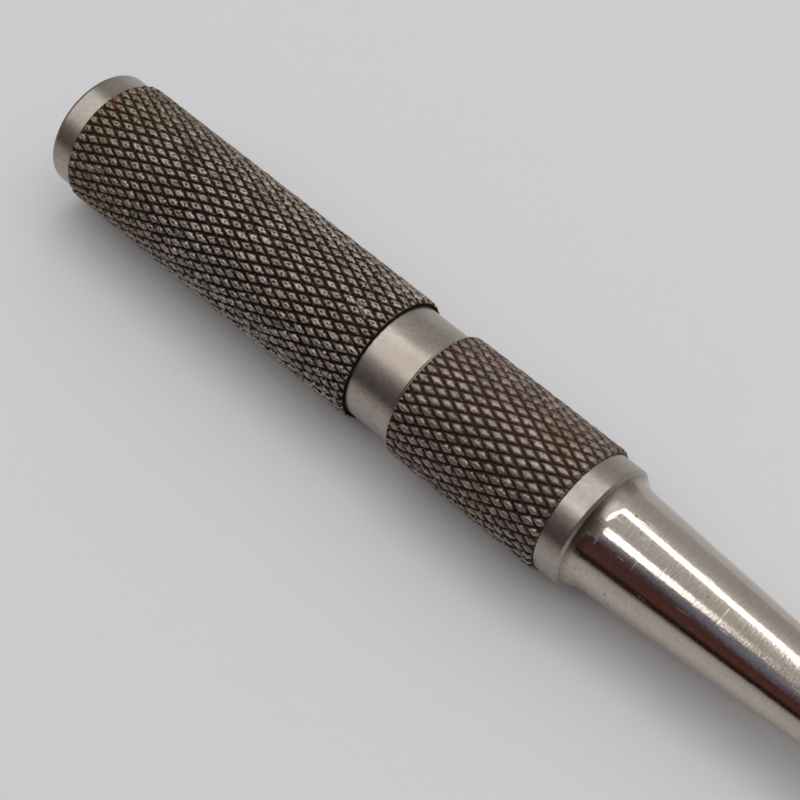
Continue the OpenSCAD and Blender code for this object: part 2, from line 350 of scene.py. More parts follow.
# %% Dim cards
NEAR_FLOOR_Z = 0.8 * MM
dim_cards = [
    ribbon("blue_window", 0.79, [
        (-0.12, 122, 130), (-0.0955, 122, 134.5), (-0.079, 122, 139), (-0.063, 122, 144),
        (-0.0395, 122, 151), (-0.03, 122, 149)],
        "X", [(-0.12, (0.19, 0.17, 0.19)), (-0.08, (0.2, 0.22, 0.31)), (-0.0395, (0.2, 0.235, 0.345)),
              (-0.03, (0.19, 0.2, 0.25))]),
    ribbon("dim_overhead", 0.8, [(-0.025, 100, 138), (0.8, 100, 138)], round_axis(135, 0.79, 0.45), [
        (0.0, (0.15, 0.14, 0.13)), (0.3, (0.17, 0.16, 0.15)), (0.42, (0.26, 0.245, 0.235)),
        (0.52, (0.4, 0.39, 0.385)), (0.6, (0.5, 0.5, 0.505))]),
    card("dark_near_floor", [(x, y, NEAR_FLOOR_Z)
                             for x, y in ((-1.3, -0.8), (0.12, -0.8), (0.12, -0.01), (-1.3, -0.01))],
         ("Y", [(-0.8, (0.015, 0.006, 0.005)), (-0.1, (0.03, 0.014, 0.012)), (-0.058, (0.13, 0.115, 0.105)),
                (-0.035, (0.34, 0.33, 0.32)), (-0.025, (0.455, 0.45, 0.445)), (-0.017, (0.51, 0.505, 0.5)),
                (-0.01, (0.54, 0.535, 0.53))])),
    end_wall("dark_side", 0.81, (-0.86, 0.85), 1.3, (0.8, -0.35, 0.35), [
        (0.0, (0.19, 0.165, 0.15)), (0.5, (0.2, 0.175, 0.16)), (0.72, (0.24, 0.22, 0.205)),
        (0.95, (0.35, 0.34, 0.33)), (1.2, (0.5, 0.5, 0.505))]),
    wall("dim_far_wall", (-0.9, 0.75), 0.8, 0.9, "Z", [
        (0.0, grey(0.62)), (0.06, grey(0.6)), (0.14, (0.43, 0.425, 0.42)), (0.3, (0.42, 0.415, 0.41)),
        (0.5, grey(0.45)), (0.9, grey(0.52))]),
    wall("dim_corner", (-0.16, 0.75), 0.79, 0.66, (0.3, 0.79, 0.2), [
        (0.0, (0.25, 0.25, 0.24)), (0.2, (0.27, 0.27, 0.26)), (0.34, (0.4, 0.4, 0.395)), (0.45, grey(0.46))]),
    end_wall("dim_rear_wall", -1.3, (-1.2, 1.2), 1.7, "Z", [
        (0.0, (0.11, 0.11, 0.115)), (0.9, (0.13, 0.13, 0.135)), (1.7, grey(0.3))]),
]
print("dim cards", [sheet.name for sheet in dim_cards])

# %% [markdown]
# ## Finishes
# Plating is one metal with several surfaces. Where the lathe left fine rings it is satin, where it was
# buffed it is a mirror with hairline scratches, and in the knurl only the tops are still bright: the
# grooves hold years of brown grime. Each finish is mixed from noise read in Object coordinates, so it
# stays on the piece in every view.

# %% Small node recipes
def darker(colour, share):
    return tuple(share * v for v in colour[:3]) + (1,)


def noise(tree, coords, scale, detail=3, stretch=(1, 1, 1), place=(0, 0, 0)):
    mapping = add(tree, "ShaderNodeMapping", {"Vector": coords, "Scale": stretch, "Location": place})
    texture = add(tree, "ShaderNodeTexNoise", {
        "Vector": mapping.outputs["Vector"], "Scale": scale, "Detail": detail})
    return texture.outputs["Fac"]


def ramp(tree, value, low, high, from_value=0.0, to_value=1.0):
    node = add(tree, "ShaderNodeMapRange", {
        "Value": value, "From Min": low, "From Max": high, "To Min": from_value, "To Max": to_value},
        interpolation_type="SMOOTHSTEP")
    return node.outputs["Result"]


def math_node(tree, operation, first, second=None):
    return add(tree, "ShaderNodeMath", {0: first, 1: second}, operation=operation).outputs["Value"]


def mixed(tree, factor, first, second):
    node = add(tree, "ShaderNodeMix", {"Factor": factor}, data_type="RGBA")
    colours = [socket for socket in node.inputs if socket.type == "RGBA"]
    for socket, value in zip(colours, (first, second)):
        if isinstance(value, tuple):
            socket.default_value = value
        else:
            wire(tree, value, socket)
    return next(socket for socket in node.outputs if socket.type == "RGBA")


def spot(tree, coords, place, radius):
    """1 at a place on the piece, fading to 0 at the radius."""
    gap = vector_node(tree, "DISTANCE", coords, place)["Value"]
    return ramp(tree, gap, 0.35 * radius, radius, 1, 0)


def bump(tree, shader, height, strength, distance):
    node = add(tree, "ShaderNodeBump", {"Height": height, "Strength": strength, "Distance": distance})
    wire(tree, node.outputs["Normal"], shader.inputs["Normal"])


# %% Satin nickel
def satin_nickel():
    """Frosted by fine turning, with faint warm stains."""
    material, tree, shader = new_material("satin_nickel")
    coords = object_coords(tree)
    dull, frosty, stained = (0.375, 0.331, 0.292, 1), (0.445, 0.395, 0.352, 1), (0.37, 0.316, 0.262, 1)
    grain = noise(tree, coords, 9000, 4, (1.4, 0.5, 0.5))
    stain = ramp(tree, noise(tree, coords, 380, 4), 0.42, 0.75)
    frost = ramp(tree, noise(tree, coords, 3300, 5), 0.3, 0.7)
    metal = mixed(tree, frost, dull, frosty)
    wire(tree, mixed(tree, stain, metal, stained), shader.inputs["Base Color"])
    shader.inputs["Metallic"].default_value = 1
    wire(tree, ramp(tree, grain, 0.3, 0.7, 0.285, 0.325), shader.inputs["Roughness"])
    bump(tree, shader, grain, 0.008, 0.02 * MM)
    return material


satin = satin_nickel()
print(satin.name, len(satin.node_tree.nodes), "nodes")

# %% [markdown]
# The taper was buffed to a mirror, and use has hazed it: hairlines along it, a few strokes across, faint
# turning rings and dark specks. The buffing wheel doesn't reach into the hollow behind the taper, so the
# plate is duller and dirtier there; the dark band painted round the hollow's base is also painted shade
# and a painted reflection of the shoulder.

# %% Helper: colour of the polished plate
def polished_colour(tree, coords, x, rings, hollow_x):
    plate, clouded, bright_ring = (0.53, 0.465, 0.4, 1), (0.5, 0.43, 0.362, 1), (0.62, 0.56, 0.5, 1)
    stained, dull = (0.27, 0.2, 0.12, 1), (0.22, 0.175, 0.135, 1)
    shaded_grime, speck = (0.085, 0.062, 0.05, 1), (0.2, 0.15, 0.11, 1)
    cloud = ramp(tree, noise(tree, coords, 300, 4, (0.6, 1, 1)), 0.35, 0.7)
    metal = mixed(tree, cloud, plate, clouded)
    metal = mixed(tree, ramp(tree, rings, 0.35, 0.65, 0, 0.4), metal, bright_ring)
    # Partly dirt, partly painted shade and painted reflection: the brown stain low on the near side, the dull
    # band and the dark spot round the hollow's base.
    stain = math_node(tree, "MULTIPLY", spot(tree, coords, round_axis(185, 4.2 * MM, hollow_x), 2.6 * MM),
                      ramp(tree, noise(tree, coords, 2600, 5), 0.35, 0.75, 0, 0.6))
    metal = mixed(tree, stain, metal, stained)
    metal = mixed(tree, ramp(tree, x, hollow_x, hollow_x + 0.75 * MM, 0.85, 0), metal, dull)
    shaded_grime_spot = spot(tree, coords, round_axis(127, 4.1 * MM, hollow_x + 0.3 * MM), 2.5 * MM)
    grime = math_node(tree, "MULTIPLY", shaded_grime_spot,
                      ramp(tree, x, hollow_x + 0.2 * MM, hollow_x + 1.15 * MM, 0.85, 0))
    metal = mixed(tree, grime, metal, shaded_grime)
    specks = ramp(tree, noise(tree, coords, 2100, 2, (1, 1, 1), (0.11, 0, 0)), 0.73, 0.77)
    return mixed(tree, specks, metal, speck)


# %% Polished nickel
def polished_nickel(hollow_x):
    material, tree, shader = new_material("polished_nickel")
    coords = object_coords(tree)
    x = along_axes(tree, coords)["X"]
    dents = noise(tree, coords, 6000, 3)
    rings = noise(tree, coords, 9000, 4, (1.3, 0.14, 0.14))
    hairs = ramp(tree, noise(tree, coords, 2600, 2, (0.16, 1, 1)), 0.66, 0.72)
    cross = ramp(tree, noise(tree, coords, 1900, 2, (2.4, 0.22, 0.22), (0.3, 0, 0)), 0.68, 0.73)
    scratch = math_node(tree, "MAXIMUM", hairs, cross)
    wire(tree, polished_colour(tree, coords, x, rings, hollow_x), shader.inputs["Base Color"])
    shader.inputs["Metallic"].default_value = 1
    unreached = ramp(tree, x, hollow_x, hollow_x + 0.7 * MM, 0.2, 0)
    haze = ramp(tree, noise(tree, coords, 14000, 2), 0.4, 0.65, 0.06, 0.19)
    rough = math_node(tree, "ADD", haze, math_node(tree, "MULTIPLY", scratch, 0.12))
    wire(tree, math_node(tree, "ADD", rough, unreached), shader.inputs["Roughness"])
    height = math_node(tree, "SUBTRACT", math_node(tree, "MULTIPLY", dents, 0.5),
                       math_node(tree, "MULTIPLY", scratch, 0.25))
    height = math_node(tree, "ADD", height, math_node(tree, "MULTIPLY", rings, 0.09))
    bump(tree, shader, height, 0.4, 0.02 * MM)
    return material


HOLLOW_FROM_REAR = 14.4 * MM
polish = polished_nickel(nose_low.x + HOLLOW_FROM_REAR)
print(polish.name, len(polish.node_tree.nodes), "nodes")

# %% [markdown]
# The knurl's finish reads two attributes that the diamonds carry: relief, which is 0 in the groove and 1
# on the top, and shade, one random number for each diamond. The grime is dark where the hand keeps it
# greasy; towards +Y, the side that faces the lamps, the grooves are painted paler: that is painted light.

# %% Helper: a straight mark on a surface
def line(tree, coords, start, end, width):
    """1 along a straight scratch between two places, 0 beside it."""
    along = (end - start).normalized()
    length = (end - start).length
    reach = vector_node(tree, "SUBTRACT", coords, (start + end) / 2)["Vector"]
    share = vector_node(tree, "DOT_PRODUCT", reach, along)["Value"]
    beside = vector_node(tree, "CROSS_PRODUCT", reach, along)["Vector"]
    off = vector_node(tree, "LENGTH", beside)["Value"]
    inside = ramp(tree, math_node(tree, "ABSOLUTE", share), 0.45 * length, 0.5 * length, 1, 0)
    return math_node(tree, "MULTIPLY", inside, ramp(tree, off, 0.4 * width, width, 1, 0))


# %% Knurled nickel
NICK_WIDTH = 0.15 * MM
BROWN_REACH = 11 * MM


def knurled_nickel(name, groove, lit_groove, top, brown_x=None, rust=(), nick=None):
    """Old brown grime starts at brown_x; rust is a list of spots and nick a bright mark in a groove."""
    material, tree, shader = new_material(name)
    coords = object_coords(tree)
    relief = add(tree, "ShaderNodeAttribute", attribute_name="relief").outputs["Fac"]
    shade = add(tree, "ShaderNodeAttribute", attribute_name="shade").outputs["Fac"]
    axes = along_axes(tree, coords)
    brown, tarnished = (0.055, 0.034, 0.014, 1), (0.3, 0.215, 0.135, 1)
    bare, red = (0.75, 0.67, 0.6, 1), (0.17, 0.055, 0.034, 1)
    grit = noise(tree, coords, 4000, 3)
    level = math_node(tree, "ADD", relief, ramp(tree, grit, 0.25, 0.75, -0.4, 0.4))
    bright = ramp(tree, level, 0.3, 1.0)
    worn = mixed(tree, ramp(tree, shade, 0, 1), top, darker(top, 0.7))
    tarnish = ramp(tree, noise(tree, coords, 330, 3), 0.5, 0.74, 0, 0.5)
    groove_dirt_and_light = mixed(tree, ramp(tree, noise(tree, coords, 900, 3), 0.35, 0.7), groove, darker(groove, 1.8))
    # Painted light: the grooves turn paler towards +Y, the side that faces the lamps.
    groove_dirt_and_light = mixed(tree, ramp(tree, axes["Y"], -4.2 * MM, -0.5 * MM), groove_dirt_and_light, lit_groove)
    if brown_x is not None:
        old = ramp(tree, axes["X"], brown_x, brown_x + BROWN_REACH, 0.6, 0)
        tarnish = math_node(tree, "MAXIMUM", tarnish, old)
        groove_dirt_and_light = mixed(tree, old, groove_dirt_and_light, brown)
    colour = mixed(tree, bright, groove_dirt_and_light, mixed(tree, tarnish, worn, tarnished))
    if nick:
        cut = line(tree, coords, *nick, NICK_WIDTH)
        colour = mixed(tree, cut, colour, bare)
        bright = math_node(tree, "MAXIMUM", bright, cut)
    for place, radius, amount in rust:
        rusty = math_node(tree, "MULTIPLY", spot(tree, coords, place, radius),
                          ramp(tree, noise(tree, coords, 1500, 3), 0.35, 0.6, 0, amount))
        colour = mixed(tree, rusty, colour, red)
        bright = math_node(tree, "MULTIPLY", bright, math_node(tree, "SUBTRACT", 1, rusty))
    wire(tree, colour, shader.inputs["Base Color"])
    wire(tree, bright, shader.inputs["Metallic"])
    wire(tree, ramp(tree, bright, 0, 1, 0.8, 0.44), shader.inputs["Roughness"])
    shader.inputs["Specular IOR Level"].default_value = 0.2
    bump(tree, shader, grit, 0.45, 0.03 * MM)
    return material


# %% Mix the two knurl finishes
rust_spots = [
    (round_axis(87, 4.7 * MM, tube_low.x + 0.3 * MM), 0.7 * MM, 1),
    (round_axis(92, 4.55 * MM, tube_low.x + 0.6 * MM), 0.5 * MM, 1),
    (round_axis(88, 4.6 * MM, tube_low.x + 10.3 * MM), 0.8 * MM, 0.4)]
nick_r = root_r + 0.06 * MM
nick_ends = (round_axis(94.9, nick_r, tube_low.x + 24.37 * MM),
             round_axis(102.5, nick_r, tube_low.x + 25.72 * MM))
# The second groove colour of each finish is painted light: the paler grooves on the side that faces the
# lamps.
long_knurl_finish = knurled_nickel(
    "long_knurl_nickel", groove=(0.013, 0.0065, 0.0033, 1), lit_groove=(0.03, 0.0155, 0.0085, 1),
    top=(0.52, 0.45, 0.385, 1), brown_x=tube_low.x, rust=rust_spots, nick=nick_ends)
short_knurl_finish = knurled_nickel(
    "short_knurl_nickel", groove=(0.028, 0.015, 0.009, 1), lit_groove=(0.085, 0.046, 0.028, 1),
    top=(0.39, 0.33, 0.287, 1))
print("finishes", [m.name for m in (satin, polish, long_knurl_finish, short_knurl_finish)])

# %% [markdown]
# The inner pieces and the point are bare steel: one grain, stretched along the piece where it was ground
# and round it where it was turned.

# %% Plain steels
def plain_steel(name, colour, rough, stretch):
    material, tree, shader = new_material(name)
    coords = object_coords(tree)
    grain = noise(tree, coords, 1800, 3, stretch)
    metal = mixed(tree, ramp(tree, grain, 0.35, 0.7), colour, darker(colour, 0.8))
    wire(tree, metal, shader.inputs["Base Color"])
    shader.inputs["Metallic"].default_value = 1
    wire(tree, ramp(tree, grain, 0.3, 0.7, rough - 0.06, rough + 0.06), shader.inputs["Roughness"])
    bump(tree, shader, grain, 0.15, 0.02 * MM)
    return material


point_steel = plain_steel("point_steel", (0.44, 0.43, 0.42, 1), 0.24, (0.15, 1, 1))
collet_steel = plain_steel("collet_steel", (0.5, 0.48, 0.45, 1), 0.3, (3, 0.5, 0.5))
spring_steel = plain_steel("spring_steel", (0.3, 0.29, 0.28, 1), 0.32, (1, 1, 1))
pin_steel = plain_steel("pin_steel", (0.42, 0.41, 0.4, 1), 0.35, (1, 1, 1))
print("steels", [m.name for m in (point_steel, collet_steel, spring_steel, pin_steel)])

# %% [markdown]
# ## Turned pieces
# A lathe makes its pieces by turning a profile round an axis, and so does this helper: a list of
# places along the axis and radii, swept round in many fine steps. Corners get a small round first,
# because no turned edge is perfectly sharp, and it is this round that catches the light.

# %% Helper: ease the corners of a profile
def eased(profile, steps=3):
    """Profile rows are (x, radius, round). Each corner with a round becomes a short arc."""
    out = []
    for k, (x, r, ease) in enumerate(profile):
        here = Vector((x, r))
        if not ease:
            out.append(here)
            continue
        before = Vector(profile[k - 1][:2]) - here
        after = Vector(profile[(k + 1) % len(profile)][:2]) - here
        half = before.angle(after) / 2
        reach = min(ease / math.tan(half), 0.45 * before.length, 0.45 * after.length)
        radius = reach * math.tan(half)
        inwards = (before.normalized() + after.normalized()).normalized()
        middle = here + inwards * (radius / math.sin(half))
        start = here + before.normalized() * reach - middle
        end = here + after.normalized() * reach - middle
        sweep = start.angle_signed(end)
        for s in range(steps + 1):
            turn = -sweep * s / steps
            out.append(middle + Vector((start.x * math.cos(turn) - start.y * math.sin(turn),
                                        start.x * math.sin(turn) + start.y * math.cos(turn))))
    return out


# %% Helper: hold the straight stretches straight
def held(points, margin=0.03 * MM):
    """Smooth shading bends a long face near its ends, so a ring close to each end keeps the rest true."""
    out = []
    for k, here in enumerate(points):
        out.append(here)
        step = points[(k + 1) % len(points)] - here
        if step.length > 8 * margin:
            out += [here + step.normalized() * margin, here + step - step.normalized() * margin]
    return out


# %% Helper: turn a profile into a closed mesh
SHARP_ANGLE = math.radians(40)
ON_AXIS = 1e-7


def turned(name, profile, finish_of, steps=160):
    """Finish_of tells the finish from the middle of a face along X."""
    made = bmesh.new()
    around = [2 * math.pi * s / steps for s in range(steps)]
    rings = []
    for p in held(eased(profile)):
        if p.y < ON_AXIS:
            rings.append([made.verts.new((p.x, 0, axis_z))])
        else:
            rings.append([made.verts.new((p.x, p.y * math.cos(t), axis_z + p.y * math.sin(t)))
                          for t in around])
    finishes = []
    for a, b in zip(rings, rings[1:] + rings[:1]):
        if len(a) == 1 and len(b) == 1:
            continue
        for s in range(steps):
            t = (s + 1) % steps
            corners = [a[s % len(a)], a[t % len(a)], b[t % len(b)], b[s % len(b)]]
            corners = [v for k, v in enumerate(corners) if v not in corners[:k]]
            face = made.faces.new(corners)
            finish = finish_of(sum(v.co.x for v in corners) / len(corners))
            if finish not in finishes:
                finishes.append(finish)
            face.material_index = finishes.index(finish)
            face.smooth = True
    bmesh.ops.recalc_face_normals(made, faces=made.faces)
    mesh = bpy.data.meshes.new(name)
    made.to_mesh(mesh)
    made.free()
    for finish in finishes:
        mesh.materials.append(finish)
    mesh.set_sharp_from_angle(angle=SHARP_ANGLE)
    print(name, len(mesh.polygons), "faces")
    return put_in_scene(name, mesh)


# %% [markdown]
# ## End plug
# A short satin ring with a rounded rear edge closes the handle. Only its head shows; the shank that is
# pressed into the tube is kept, so that the piece is whole.

# %% Turn the end plug
SEAM = 0.02 * MM
shank_r = TUBE_BORE_R - 0.01 * MM
head_x = tube_low.x - SEAM
end_ring = turned("end_ring", [
    (plug_low.x, 0, 0), (plug_low.x, ring_r, 0.25 * MM), (head_x, ring_r, 0.06 * MM),
    (head_x, shank_r, 0), (plug_high.x, shank_r, 0.2 * MM), (plug_high.x, 0, 0)], lambda x: satin)
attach(end_ring, "handle")
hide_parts("end_plug")

# %% [markdown]
# ## Neck spindle
# The plain neck between the knurls is the middle of a longer spindle: a pressed shank behind it and a
# threaded spigot in front, which shows when the chuck is unscrewed.

# %% Turn the neck spindle
TIGHTEN_GAP = 0.15 * MM
NECK_EDGE = 0.05 * MM
PASSAGE_R, TAIL_BORE_R, SPRING_ROOM_R = 1.2 * MM, 1.8 * MM, 2.5 * MM
SPRING_ROOM_L, TAIL_BORE_L = 4.5 * MM, 8.26 * MM
RELIEF_END, SPIGOT_START = 0.8 * MM, 0.9 * MM
spigot_r, relief_r = 3.25 * MM, 3.15 * MM
spigot_x = nose_low.x - TIGHTEN_GAP
neck_x1, neck_x2 = tube_high.x + SEAM, spigot_x + 0.06 * MM
room_x, tail_x = neck_high.x - SPRING_ROOM_L, neck_high.x - TAIL_BORE_L
neck = turned("neck_spindle_bar", [
    (neck_low.x, PASSAGE_R, 0), (neck_low.x, shank_r, 0.2 * MM), (neck_x1, shank_r, 0),
    (neck_x1, neck_r, NECK_EDGE), (neck_x2, neck_r, NECK_EDGE), (neck_x2, relief_r, 0.1 * MM),
    (spigot_x + RELIEF_END, relief_r, 0), (spigot_x + SPIGOT_START, spigot_r, 0),
    (neck_high.x, spigot_r, 0.2 * MM), (neck_high.x, SPRING_ROOM_R, 0.1 * MM), (room_x, SPRING_ROOM_R, 0),
    (room_x, TAIL_BORE_R, 0), (tail_x, TAIL_BORE_R, 0), (tail_x, PASSAGE_R, 0)], lambda x: satin)
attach(neck, "handle")
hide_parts("neck_spindle")

# %% [markdown]
# The spigot's thread is one ridge that winds round it. A four-sided wire swept along a helix has the
# right slopes, and half of it sinks into the spigot. Geometry Nodes keep pitch and radius as inputs.

# %% Helpers: start, finish and run a node tree
def open_tree(name, sockets):
    """A node tree with these inputs and one geometry output."""
    tree = bpy.data.node_groups.new(name, "GeometryNodeTree")
    for title, kind in sockets.items():
        tree.interface.new_socket(title, in_out="INPUT", socket_type="NodeSocket" + kind)
    tree.interface.new_socket("Geometry", in_out="OUTPUT", socket_type="NodeSocketGeometry")
    return tree, add(tree, "NodeGroupInput").outputs


def close_tree(tree, geometry, finish):
    """Real faces with their finish, because the export drops instances."""
    real = add(tree, "GeometryNodeRealizeInstances", {"Geometry": geometry})
    painted = add(tree, "GeometryNodeSetMaterial", {
        "Geometry": real.outputs["Geometry"], "Material": finish})
    add(tree, "NodeGroupOutput", {"Geometry": painted.outputs["Geometry"]})


def plain_mesh(name, tree, given):
    """Run a node tree on an empty holder and keep what it makes as a plain mesh."""
    holder = put_in_scene(name + "_holder", bpy.data.meshes.new(name + "_holder"))
    modifier = holder.modifiers.new("nodes", "NODES")
    modifier.node_group = tree
    for item in tree.interface.items_tree:
        if item.item_type == "SOCKET" and item.in_out == "INPUT":
            modifier[item.identifier] = given[item.name]
    seen = holder.evaluated_get(bpy.context.evaluated_depsgraph_get())
    mesh = bpy.data.meshes.new_from_object(seen)
    bpy.data.objects.remove(holder)
    mesh.name = name
    return mesh


# %% Wind the thread
THREAD_PITCH, RIDGE = 0.5 * MM, 0.23 * MM
THREAD_START, THREAD_STOP = 1.2 * MM, 0.35 * MM


def thread_tree():
    tree, given = open_tree("thread_ridge", {
        "Turns": "Float", "Length": "Float", "Radius": "Float", "Ridge": "Float", "Start": "Vector",
        "Finish": "Material"})
    helix = add(tree, "GeometryNodeCurveSpiral", {
        "Resolution": 48, "Rotations": given["Turns"], "Start Radius": given["Radius"],
        "End Radius": given["Radius"], "Height": given["Length"]})
    upright = add(tree, "GeometryNodeSetCurveNormal", {"Curve": helix.outputs["Curve"]}, mode="Z_UP")
    section = add(tree, "GeometryNodeCurvePrimitiveCircle", {"Resolution": 4, "Radius": given["Ridge"]})
    swept = add(tree, "GeometryNodeCurveToMesh", {
        "Curve": upright.outputs["Curve"], "Profile Curve": section.outputs["Curve"], "Fill Caps": True})
    laid = add(tree, "GeometryNodeTransform", {
        "Geometry": swept.outputs["Mesh"], "Translation": given["Start"], "Rotation": (0, math.pi / 2, 0)})
    close_tree(tree, laid.outputs["Geometry"], given["Finish"])
    return tree


thread_x = spigot_x + THREAD_START
thread_l = neck_high.x - THREAD_STOP - thread_x
thread_mesh = plain_mesh("spigot_thread", thread_tree(), {
    "Turns": thread_l / THREAD_PITCH, "Length": thread_l, "Radius": spigot_r, "Ridge": RIDGE,
    "Start": (thread_x, 0, axis_z), "Finish": satin})
thread = put_in_scene("spigot_thread", thread_mesh)
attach(thread, "handle")
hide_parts("neck_spindle")
crest = max(math.hypot(v.co.y, v.co.z - axis_z) for v in thread_mesh.vertices)
print("thread", len(thread_mesh.polygons), "faces, crest", round(crest / MM, 3), "mm")

# %% [markdown]
# ## The diamond knurl
# Two wheels press crossing grooves into the bar, and what stays between them are diamonds. They could
# be cut by displacing a very fine grid, but then the groove edges would step. One small diamond of a
# few dozen faces, set on a lattice by Geometry Nodes, has crisp edges and costs little. On the handle
# the metal closed over the tops and left a small pit in most of them.

# %% Helper: one diamond
CORNERS = 8
ROUNDING = 0.75


def diamond(name, loops, pitch_x, pitch_y):
    """Loops run from the groove inwards: (share of pitch, height, roundness, relief, along, across)."""
    made = bmesh.new()
    relief = made.verts.layers.float.new("relief")
    rings = []
    for share, height, roundness, level, along, across in loops:
        ring = []
        for k in range(CORNERS):
            a = 2 * math.pi * k / CORNERS
            flat = 1 / (abs(math.cos(a)) + abs(math.sin(a)))
            reach = share * (flat + (1 - flat) * roundness * ROUNDING)
            x, y = reach * math.cos(a) + along, reach * math.sin(a) + across
            vert = made.verts.new((x * pitch_x / 2, y * pitch_y / 2, height))
            vert[relief] = level
            ring.append(vert)
        rings.append(ring)
    for a, b in zip(rings, rings[1:]):
        for k in range(CORNERS):
            after = (k + 1) % CORNERS
            made.faces.new((a[k], a[after], b[after], b[k])).smooth = True
    made.faces.new(rings[-1]).smooth = True
    made.faces.new(list(reversed(rings[0])))
    mesh = bpy.data.meshes.new(name)
    made.to_mesh(mesh)
    made.free()
    print(name, len(mesh.polygons), "faces")
    return put_in_scene(name, mesh)


# %% Helper: places on the lattice
def lattice_places(tree, given):
    """Points row by row, every second row half a diamond further round; also each point's angle."""
    def sums(*values):
        return math_node(tree, *values)

    index = add(tree, "GeometryNodeInputIndex").outputs["Index"]
    row = sums("FLOOR", sums("DIVIDE", sums("ADD", index, 0.5), given["Around"]))
    column = sums("SUBTRACT", index, sums("MULTIPLY", row, given["Around"]))
    half = sums("MULTIPLY", sums("FLOORED_MODULO", row, 2), 0.5)
    turned_by = sums("MULTIPLY", sums("DIVIDE", sums("ADD", column, half), given["Around"]), 2 * math.pi)
    along = sums("ADD", given["First row"], sums("MULTIPLY", row, given["Row step"]))
    twisted = sums("MULTIPLY", given["Twist"], sums("SUBTRACT", along, given["Middle"]))
    angle = sums("ADD", turned_by, sums("ADD", given["First angle"], twisted))
    across = sums("MULTIPLY", given["Radius"], sums("COSINE", angle))
    above = sums("MULTIPLY", given["Radius"], sums("SINE", angle))
    place = add(tree, "ShaderNodeCombineXYZ", {
        "X": along, "Y": across, "Z": sums("ADD", given["Axis height"], above)})
    points = add(tree, "GeometryNodePoints", {
        "Count": sums("MULTIPLY", given["Around"], given["Rows"]), "Position": place.outputs["Vector"]})
    return points.outputs["Geometry"], angle


# %% Helper: the lattice as a node tree
def chance(tree, given, low, high, offset):
    """A random number for each diamond; the offset keeps the draws apart."""
    seed = math_node(tree, "ADD", given["Seed"], offset)
    node = add(tree, "FunctionNodeRandomValue", {"Seed": seed}, data_type="FLOAT")
    limits = {"Min": low, "Max": high}
    for socket in node.inputs:
        if socket.name in limits and socket.type == "VALUE":
            socket.default_value = limits[socket.name]
    return next(s for s in node.outputs if s.type == "VALUE" and s.enabled)


def knurl_tree():
    tree, given = open_tree("knurl_lattice", {
        "Diamond": "Object", "Odd diamond": "Object", "Around": "Int", "Rows": "Int", "Radius": "Float",
        "Row step": "Float", "First row": "Float", "Axis height": "Float", "Odd share": "Float",
        "Middle": "Float", "First angle": "Float", "Twist": "Float", "Tilt": "Float", "Spread": "Float",
        "Seed": "Int", "Finish": "Material"})
    points, angle = lattice_places(tree, given)

    def sums(*values):
        return math_node(tree, *values)

    def tilted(most, offset):
        return sums("MULTIPLY", given["Tilt"], chance(tree, given, -most, most, offset))

    def stretched(most, offset):
        return sums("ADD", 1, sums("MULTIPLY", given["Spread"], chance(tree, given, -1, most, offset)))

    turn = add(tree, "ShaderNodeCombineXYZ", {
        "X": sums("ADD", sums("SUBTRACT", angle, math.pi / 2), tilted(1, 1)),
        "Y": tilted(1, 2), "Z": tilted(0.6, 3)})
    odd = sums("LESS_THAN", chance(tree, given, 0, 1, 4), given["Odd share"])
    joined = add(tree, "GeometryNodeJoinGeometry")
    for name, wanted in (("Diamond", sums("SUBTRACT", 1, odd)), ("Odd diamond", odd)):
        shape = add(tree, "GeometryNodeObjectInfo", {"As Instance": True, "Object": given[name]})
        stretch = add(tree, "ShaderNodeCombineXYZ", {
            "X": stretched(0.6, 5), "Y": stretched(0.6, 6), "Z": stretched(0, 7)})
        placed = add(tree, "GeometryNodeInstanceOnPoints", {
            "Points": points, "Selection": wanted, "Instance": shape.outputs["Geometry"],
            "Rotation": turn.outputs["Vector"], "Scale": stretch.outputs["Vector"]})
        marked = add(tree, "GeometryNodeStoreNamedAttribute", {
            "Geometry": placed.outputs["Instances"], "Name": "shade"}, data_type="FLOAT", domain="INSTANCE")
        shade_socket = next(s for s in marked.inputs if s.name == "Value" and s.type == "VALUE")
        wire(tree, chance(tree, given, 0, 1, 9), shade_socket)
        wire(tree, marked.outputs["Geometry"], joined.inputs["Geometry"])
    close_tree(tree, joined.outputs["Geometry"], given["Finish"])
    return tree


lattice = knurl_tree()
print("lattice tree", len(lattice.nodes), "nodes")


# %% Helper: run the tree, part off the ends and bevel them
TWIST = math.radians(-0.085) / MM
SPARE_ROWS = 4
CUT_CLOSE = 1e-8


def part_at(made, x, side, **settings):
    everything = made.verts[:] + made.edges[:] + made.faces[:]
    return bmesh.ops.bisect_plane(made, geom=everything, dist=CUT_CLOSE, plane_co=(x, 0, 0),
                                  plane_no=(side, 0, 0), **settings)


